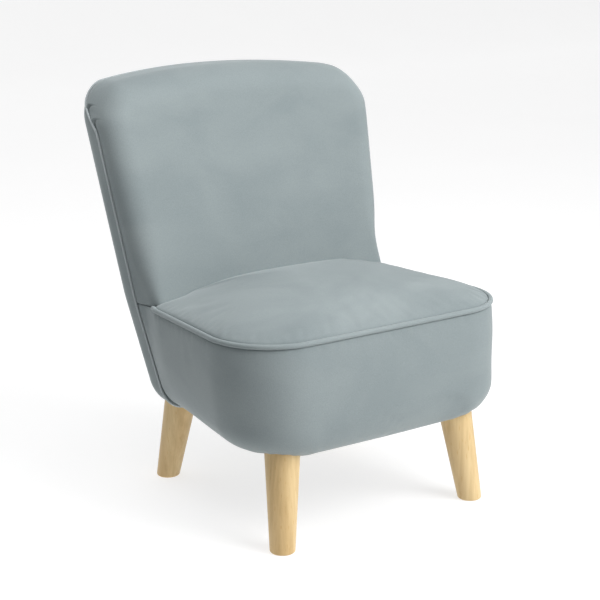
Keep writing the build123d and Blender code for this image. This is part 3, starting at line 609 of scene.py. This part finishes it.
def make_outside_back(points, normals, start):
    """Outside back: from the seam back round the rear edge and over the rear face."""
    rear = depth_y(points[:, 0], points[:, 1], 0)
    seam = seam_y(points[:, 0], points[:, 1]) + SEAM_CLEARANCE
    flat = np.clip(rear - EDGE_RADIUS - seam, 0, None)
    rows = []
    for t in np.linspace(0, 1, REAR_EDGE_STEPS, endpoint=False):
        walked = t * (flat + EDGE_RADIUS * (math.pi / 2 - start))
        angle = start + np.clip(walked - flat, 0, None) / EDGE_RADIUS
        pinch = SEAM_PINCH * np.exp(-walked / SEAM_PINCH_REACH)
        ring = points - normals * (EDGE_RADIUS * (1 - np.cos(angle)) + pinch)[:, None]
        turned = depth_y(ring[:, 0], ring[:, 1], 0) - EDGE_RADIUS * (1 - np.sin(angle))
        y = np.where(walked < flat, seam + walked, turned)
        rows.append(np.column_stack([ring[:, 0], y, ring[:, 1]]))
    rear_ring = points - normals * EDGE_RADIUS
    hub = np.array([0.0, REAR_HUB_HEIGHT])
    for share in np.linspace(1, HUB_SHARE, REAR_RINGS):
        ring = hub + (rear_ring - hub) * share
        rows.append(np.column_stack([ring[:, 0], depth_y(ring[:, 0], ring[:, 1], 0), ring[:, 1]]))
    rows = gather_around_legs(rows, REAR_LEG)
    return grid_object("outside_back", rows, closed=True, cap=True)


def make_seam(points, normals, angle):
    """Seam: a thin ridge where the outside back meets the other covers."""
    inset = EDGE_RADIUS * (1 - np.cos(angle)) - SEAM_PROUD
    ring = points - normals * inset[:, None]
    path = np.column_stack([ring[:, 0], seam_y(points[:, 0], points[:, 1]), ring[:, 1]])
    return tube_object("back_seam_ridge", np.concatenate([path, path[:1]]), SEAM_RADIUS, SEAM_SIDES)


def face_outwards(obj, middle):
    """Turn the faces so that they point away from a point inside, in millimetres."""
    mesh = obj.data
    middle = Vector(middle) * MM
    score = sum(p.normal.dot(p.center - middle) * p.area for p in mesh.polygons)
    if score < 0:
        mesh.flip_normals()


def settle(obj):
    """Apply the modifiers of a piece to its mesh."""
    graph = bpy.context.evaluated_depsgraph_get()
    mesh = bpy.data.meshes.new_from_object(obj.evaluated_get(graph))
    obj.modifiers.clear()
    obj.data = mesh
    mesh.polygons.foreach_set("use_smooth", [True] * len(mesh.polygons))


def drape(obj, held, pressure, slack, most):
    """Settle a cover as cloth blown up from inside, with some points held and its moves capped in mm."""
    mesh = obj.data
    rest = np.zeros(len(mesh.vertices) * 3)
    mesh.vertices.foreach_get("co", rest)
    rest = rest.reshape(-1, 3)
    obj.vertex_groups.new(name="held").add(np.flatnonzero(held).tolist(), 1.0, "REPLACE")
    cloth = obj.modifiers.new("cloth", "CLOTH")
    cloth.settings.vertex_group_mass = "held"
    cloth.settings.mass = 0.3
    cloth.settings.tension_stiffness = 12
    cloth.settings.compression_stiffness = 12
    cloth.settings.shear_stiffness = 6
    cloth.settings.bending_stiffness = 4.0
    cloth.settings.use_pressure = True
    cloth.settings.uniform_pressure_force = pressure
    cloth.settings.shrink_min = -slack
    cloth.settings.effector_weights.gravity = 0
    cloth.collision_settings.use_collision = False
    cloth.point_cache.frame_start = 1
    cloth.point_cache.frame_end = CLOTH_FRAMES
    for step in range(1, CLOTH_FRAMES + 1):
        bpy.context.scene.frame_set(step)
    moved = np.zeros(len(rest) * 3)
    graph = bpy.context.evaluated_depsgraph_get()
    obj.evaluated_get(graph).data.vertices.foreach_get("co", moved)
    change = moved.reshape(-1, 3) - rest
    length = np.linalg.norm(change, axis=1)
    change *= (most * MM * np.tanh(length / (most * MM)) / np.maximum(length, 1e-9))[:, None]
    obj.modifiers.clear()
    mesh.vertices.foreach_set("co", (rest + change).ravel())
    mesh.update()
    bpy.context.scene.frame_set(1)


def thicken(obj, thickness, leg=None):
    """Give a cover its padding inwards, and cut it free of a pair of legs."""
    solid = obj.modifiers.new("padding", "SOLIDIFY")
    solid.thickness = thickness * MM
    solid.offset = -1
    settle(obj)
    if leg is None:
        return
    shares = np.array(CUTTER_SHARES)
    radii = LEG_FOOT_RADIUS + (LEG_TOP_RADIUS - LEG_FOOT_RADIUS) * shares + CUTTER_CLEARANCE
    for sign in (-1, 1):
        foot = np.array(leg[0], float) * [sign, 1]
        top = np.array(leg[1], float) * [sign, 1]
        path = [np.append(foot + (top - foot) * t, LEG_TOP * t) for t in CUTTER_SHARES]
        cutter = tube_object("cutter", path, radii, CUTTER_SIDES)
        face_outwards(cutter, path[1])
        cut = obj.modifiers.new("leg", "BOOLEAN")
        cut.object = cutter
        cut.operation = "DIFFERENCE"
        cut.solver = "MANIFOLD"
        settle(obj)
        bpy.data.objects.remove(cutter)


def new_material(name):
    """An empty node material with its shader and coordinates."""
    material = bpy.data.materials.new(name)
    material.use_nodes = True
    tree = material.node_tree
    shader = tree.nodes["Principled BSDF"]
    place = tree.nodes.new("ShaderNodeTexCoord")
    return material, tree, shader, place


def add_noise(tree, place, scale, stretch=(1, 1, 1), detail=3.0, roughness=0.55, distortion=0.0):
    """A noise texture on object coordinates, stretched along the axes."""
    mapping = tree.nodes.new("ShaderNodeMapping")
    mapping.inputs["Scale"].default_value = stretch
    tree.links.new(place.outputs["Object"], mapping.inputs["Vector"])
    noise = tree.nodes.new("ShaderNodeTexNoise")
    noise.inputs["Scale"].default_value = scale
    noise.inputs["Detail"].default_value = detail
    noise.inputs["Roughness"].default_value = roughness
    noise.inputs["Distortion"].default_value = distortion
    tree.links.new(mapping.outputs["Vector"], noise.inputs["Vector"])
    return noise.outputs["Fac"]


def add_ramp(tree, value, stops):
    """Colours along a value."""
    ramp = tree.nodes.new("ShaderNodeValToRGB")
    points = ramp.color_ramp.elements
    while len(points) < len(stops):
        points.new(0.5)
    for point, (where, colour) in zip(points, stops):
        point.position = where
        point.color = (*colour, 1)
    tree.links.new(value, ramp.inputs["Fac"])
    return ramp.outputs["Color"]


def add_mix(tree, first, second, amount):
    """Two colours multiplied by a fixed amount."""
    mix = tree.nodes.new("ShaderNodeMix")
    mix.data_type = "RGBA"
    mix.blend_type = "MULTIPLY"
    mix.inputs["Factor"].default_value = amount
    tree.links.new(first, mix.inputs["A"])
    tree.links.new(second, mix.inputs["B"])
    return mix.outputs["Result"]


def add_bump(tree, shader, layers):
    """Surface relief from several values, each with a strength and a height in metres."""
    normal = None
    for value, strength, distance in layers:
        bump = tree.nodes.new("ShaderNodeBump")
        bump.inputs["Strength"].default_value = strength
        bump.inputs["Distance"].default_value = distance
        tree.links.new(value, bump.inputs["Height"])
        if normal is not None:
            tree.links.new(normal, bump.inputs["Normal"])
        normal = bump.outputs["Normal"]
    tree.links.new(normal, shader.inputs["Normal"])


def set_glow(shader, strength):
    """Make a surface give off white light."""
    shader.inputs["Emission Color"].default_value = (1, 1, 1, 1)
    shader.inputs["Emission Strength"].default_value = strength


def velvet(name, dark, light):
    """Short-pile velvet: nap that lies in soft smudges, a fine pile and a pale sheen."""
    material, tree, shader, place = new_material(name)
    nap = add_noise(tree, place, 7.5, (1, 1, 1.7), 3.0, 0.5, 0.5)
    colour = add_ramp(tree, nap, [(0.32, dark), (0.68, light)])
    pile = add_noise(tree, place, 1300, detail=2.0)
    grain = add_ramp(tree, pile, [(0.25, (0.78, 0.78, 0.78)), (0.75, (1, 1, 1))])
    tree.links.new(add_mix(tree, colour, grain, 1.0), shader.inputs["Base Color"])
    rough = add_ramp(tree, nap, [(0.3, (0.95, 0.95, 0.95)), (0.7, (0.8, 0.8, 0.8))])
    tree.links.new(rough, shader.inputs["Roughness"])
    shader.inputs["Specular IOR Level"].default_value = 0.15
    shader.inputs["Sheen Weight"].default_value = 0.45
    shader.inputs["Sheen Roughness"].default_value = 0.38
    shader.inputs["Sheen Tint"].default_value = (0.88, 0.93, 0.95, 1)
    ripple = add_noise(tree, place, 38, (1, 1, 1.3), 2.0)
    add_bump(tree, shader, [(pile, 0.12, 0.0006), (ripple, 0.1, 0.002)])
    return material


def timber(name, dark, light, fleck, stretch=(1, 1, 0.05), roughness=0.42):
    """Straight-grained wood with fine pores and short rays."""
    material, tree, shader, place = new_material(name)
    grain = add_noise(tree, place, 150, stretch, 6.0, 0.6, 0.35)
    broad = add_noise(tree, place, 26, stretch, 3.0, 0.5, 0.6)
    colour = add_ramp(tree, broad, [(0.3, dark), (0.7, light)])
    fine = add_ramp(tree, grain, [(0.3, (0.84, 0.8, 0.74)), (0.62, (1, 1, 1))])
    rays = add_noise(tree, place, 520, (1, 1, 0.12), 1.0)
    flecks = add_ramp(tree, rays, [(0.66, (1, 1, 1)), (0.74, fleck)])
    tree.links.new(add_mix(tree, add_mix(tree, colour, fine, 1.0), flecks, 0.6), shader.inputs["Base Color"])
    shader.inputs["Roughness"].default_value = roughness
    shader.inputs["Specular IOR Level"].default_value = 0.4
    add_bump(tree, shader, [(grain, 0.12, 0.0005)])
    return material


def plain(name, dark, light, scale, roughness, metallic=0.0):
    """A grained surface for the pieces inside."""
    material, tree, shader, place = new_material(name)
    grain = add_noise(tree, place, scale, detail=4.0)
    tree.links.new(add_ramp(tree, grain, [(0.3, dark), (0.7, light)]), shader.inputs["Base Color"])
    shader.inputs["Roughness"].default_value = roughness
    shader.inputs["Metallic"].default_value = metallic
    add_bump(tree, shader, [(grain, 0.15, 0.0006)])
    return material


# Shapes of the soft pieces. The outside back and the seam follow one outline.
border, border_held = make_border()
seat, seat_held = make_seat()
welt = make_welt()
inside_back = make_inside_back()
back_outline = back_loop()
outside_back = make_outside_back(*back_outline)

# Looks: velvet for the covers, with lighter copies of it as painted light on the welt, the seam ridge and the
# seat top, and one material for each slot of the solids.
GRAIN_ALONG_X, GRAIN_ALONG_Y = (0.06, 1, 1), (1, 0.06, 1)
RAW_ROUGHNESS = 0.7
cover = velvet("velvet_cover", (0.272, 0.317, 0.325), (0.31, 0.356, 0.362))
# Welt: the cover velvet made lighter, a painted highlight on the round cord.
welt_painted_highlight = velvet("velvet_piping_painted_highlight", (0.3, 0.348, 0.356), (0.335, 0.382, 0.388))
# Seam ridge: the cover velvet made much lighter, a painted highlight along the raised seam.
seam_painted_highlight = velvet("velvet_seam_painted_highlight", (0.46, 0.51, 0.52), (0.52, 0.57, 0.58))
# Seat: a lighter copy of the cover velvet, painted light for the seat top lit from above, with stronger nap
# smudges.
seat_nap_and_painted_light = velvet("velvet_seat_nap_and_painted_light", (0.262, 0.306, 0.314), (0.345, 0.394, 0.4))
beech = timber("beech_varnished", (0.66, 0.465, 0.22), (0.82, 0.63, 0.345), (0.86, 0.72, 0.5))
plywood_tones = (0.5, 0.36, 0.2), (0.62, 0.47, 0.28), (0.7, 0.6, 0.45)
softwood_tones = (0.58, 0.42, 0.24), (0.7, 0.54, 0.33), (0.75, 0.65, 0.5)
inner_looks = {
    "beech": beech,
    "plywood": timber("plywood_raw", *plywood_tones, GRAIN_ALONG_Y, RAW_ROUGHNESS),
    "softwood": timber("softwood_raw", *softwood_tones, GRAIN_ALONG_X, RAW_ROUGHNESS),
    "hardboard": plain("hardboard_raw", (0.16, 0.09, 0.05), (0.26, 0.16, 0.09), 300, 0.75),
    "webbing": plain("webbing_strap", (0.015, 0.015, 0.016), (0.05, 0.05, 0.055), 900, 0.8),
    "bottom_cloth": plain("bottom_cloth", (0.012, 0.012, 0.013), (0.035, 0.035, 0.037), 700, 0.95),
    "zinc_steel": plain("zinc_steel", (0.45, 0.46, 0.48), (0.62, 0.63, 0.65), 220, 0.38, 0.95),
    "foam": plain("cut_foam", (0.62, 0.58, 0.44), (0.75, 0.71, 0.58), 500, 0.95),
    "velvet": cover,
}
for entry in frame["record"]["subparts"]:
    mesh = nodes[entry["node"]].data
    mesh.materials.clear()
    mesh.materials.append(inner_looks[entry["material_slot"]])

# Covers: piece, look, a point inside, padding, legs to clear, what it stands for and its fill. Those that
# settle as cloth: held points, pressure, slack and the most that they move in millimetres.
soft = [
    (border, cover, (0, -60, 200), PAD, FRONT_LEG, ("seat_border_cover", "border_foam"), 0.8),
    # The seat's velvet is lightened as painted light from above.
    (seat, seat_nap_and_painted_light, (0, -60, 230), PAD, None, ("seat_top_cover", "seat_foam"), 0.8),
    (inside_back, cover, (0, 120, 400), PAD, None, ("inside_back_cover", "back_foam"), 0.85),
    (outside_back, cover, (0, 110, 345), THIN_PAD, REAR_LEG, ("outside_back_cover", "back_rear_pad"), 0.85),
]
settled = {"seat_border": (border_held, 1.0, 0.0005, 1.5), "seat_cushion": (seat_held, 3.0, 0.001, 3.5)}
for piece, look, middle, thickness, leg, stands_for, fill in soft:
    face_outwards(piece, middle)
    if piece.name in settled:
        drape(piece, *settled[piece.name])
    thicken(piece, thickness, leg)
    piece.data.materials.clear()
    piece.data.materials.append(look)
    piece.data.polygons.foreach_set("material_index", [0] * len(piece.data.polygons))
    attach(piece, "root")
    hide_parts(*stands_for)
# The welt's lighter velvet is a painted highlight.
welt.data.materials.append(welt_painted_highlight)
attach(welt, "root")
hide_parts("seat_welt")
seam = make_seam(*back_outline)
# The seam ridge's pale velvet is a painted highlight.
seam.data.materials.append(seam_painted_highlight)
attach(seam, "root")

# Floor: a white sweep that glows a little.
sweep = [(FLOOR_FRONT, 0), (FLOOR_REAR, 0)]
for turn in np.linspace(0, math.pi / 2, SWEEP_STEPS)[1:]:
    sweep.append((FLOOR_REAR + SWEEP_RADIUS * math.sin(turn), SWEEP_RADIUS * (1 - math.cos(turn))))
sweep.append((FLOOR_REAR + SWEEP_RADIUS, SWEEP_TOP))
floor = grid_object("floor", [[(x, y, z) for x in (-FLOOR_HALF, FLOOR_HALF)] for y, z in sweep])
floor_look, floor_tree, floor_shader, floor_place = new_material("pale_floor")
floor_tone = add_noise(floor_tree, floor_place, 3.0)
floor_colour = add_ramp(floor_tree, floor_tone, [(0.2, (0.4, 0.4, 0.4)), (0.8, (0.42, 0.42, 0.42))])
floor_tree.links.new(floor_colour, floor_shader.inputs["Base Color"])
floor_shader.inputs["Roughness"].default_value = 0.9
floor_shader.inputs["Specular IOR Level"].default_value = 0.1
set_glow(floor_shader, 0.7)
floor.data.materials.append(floor_look)

# Backdrop: a white wall all round for the other views. Only the camera sees it, so it lights nothing.
turns = np.linspace(0, 2 * math.pi, BACKDROP_STEPS, endpoint=False)
wall_ring = [(BACKDROP_RADIUS * math.cos(a), BACKDROP_RADIUS * math.sin(a)) for a in turns]
backdrop = grid_object("backdrop", [[(x, y, z) for x, y in wall_ring] for z in BACKDROP_LEVELS], closed=True)
wall_look, _, wall_shader, _ = new_material("backdrop_white")
wall_shader.inputs["Base Color"].default_value = (0, 0, 0, 1)
set_glow(wall_shader, 1.0)
backdrop.data.materials.append(wall_look)
for ray in ("diffuse", "glossy", "transmission", "volume_scatter", "shadow"):
    setattr(backdrop, "visible_" + ray, False)

# Cards: grey, on the floor at both sides and unseen by the camera, they take some glow off the chair's sides.
card_look, _, card_shader, _ = new_material("card_grey")
card_shader.inputs["Base Color"].default_value = (0.02, 0.02, 0.02, 1)
set_glow(card_shader, 0.5)
for side, sign in (("left", -1), ("right", 1)):
    ends = (sign * CARD_NEAR, sign * CARD_FAR)
    card = grid_object("card_" + side, [[(x, y, CARD_HEIGHT) for y in (-CARD_HALF, CARD_HALF)] for x in ends])
    card.data.materials.append(card_look)
    card.visible_camera = False
    card.visible_shadow = False


def area_light(name, place, aim, size, power):
    """A square soft light that looks at a point, in metres and watts."""
    data = bpy.data.lights.new(name, "AREA")
    data.energy = power
    data.size = size
    light = bpy.data.objects.new(name, data)
    bpy.context.scene.collection.objects.link(light)
    light.location = place
    light.rotation_euler = (Vector(aim) - Vector(place)).to_track_quat("-Z", "Y").to_euler()


# Light: a high key light from the front right, a weaker one from above, and a world brighter on the right.
light_aim = (0, 0, 0.3)
area_light("key", (0.85, -1.65, 1.65), light_aim, 1.5, 47)
area_light("top", (-0.5, -0.25, 2.6), light_aim, 1.6, 25)
world = bpy.data.worlds.new("studio")
world.use_nodes = True
sky = world.node_tree
direction = sky.nodes.new("ShaderNodeTexCoord")
parts = sky.nodes.new("ShaderNodeSeparateXYZ")
sky.links.new(direction.outputs["Generated"], parts.inputs["Vector"])
shift = sky.nodes.new("ShaderNodeMath")
shift.operation = "MULTIPLY_ADD"
shift.inputs[1].default_value = 0.5
shift.inputs[2].default_value = 0.5
sky.links.new(parts.outputs["X"], shift.inputs[0])
glow = add_ramp(sky, shift.outputs["Value"], [(0.15, (0.06, 0.06, 0.07)), (0.75, (0.46, 0.46, 0.46))])
sky.links.new(glow, sky.nodes["Background"].inputs["Color"])
sky.nodes["Background"].inputs["Strength"].default_value = 1.0
bpy.context.scene.world = world
bpy.context.scene.view_settings.view_transform = "Standard"

# Camera at the photograph's viewing angle, for a square image.
azimuth, elevation, distance = math.radians(-35.622), math.radians(14.723), 2.0631
target = Vector((-0.02359, -0.0541, 0.27125))
back = Vector((
    math.sin(azimuth) * math.cos(elevation),
    -math.cos(azimuth) * math.cos(elevation),
    math.sin(elevation),
))
camera_data = bpy.data.cameras.new("camera")
camera_data.sensor_width = 36
camera_data.lens = 94.14
camera = bpy.data.objects.new("camera", camera_data)
bpy.context.scene.collection.objects.link(camera)
camera.location = target + back * distance
camera.rotation_euler = back.to_track_quat("Z", "Y").to_euler()
bpy.context.scene.camera = camera
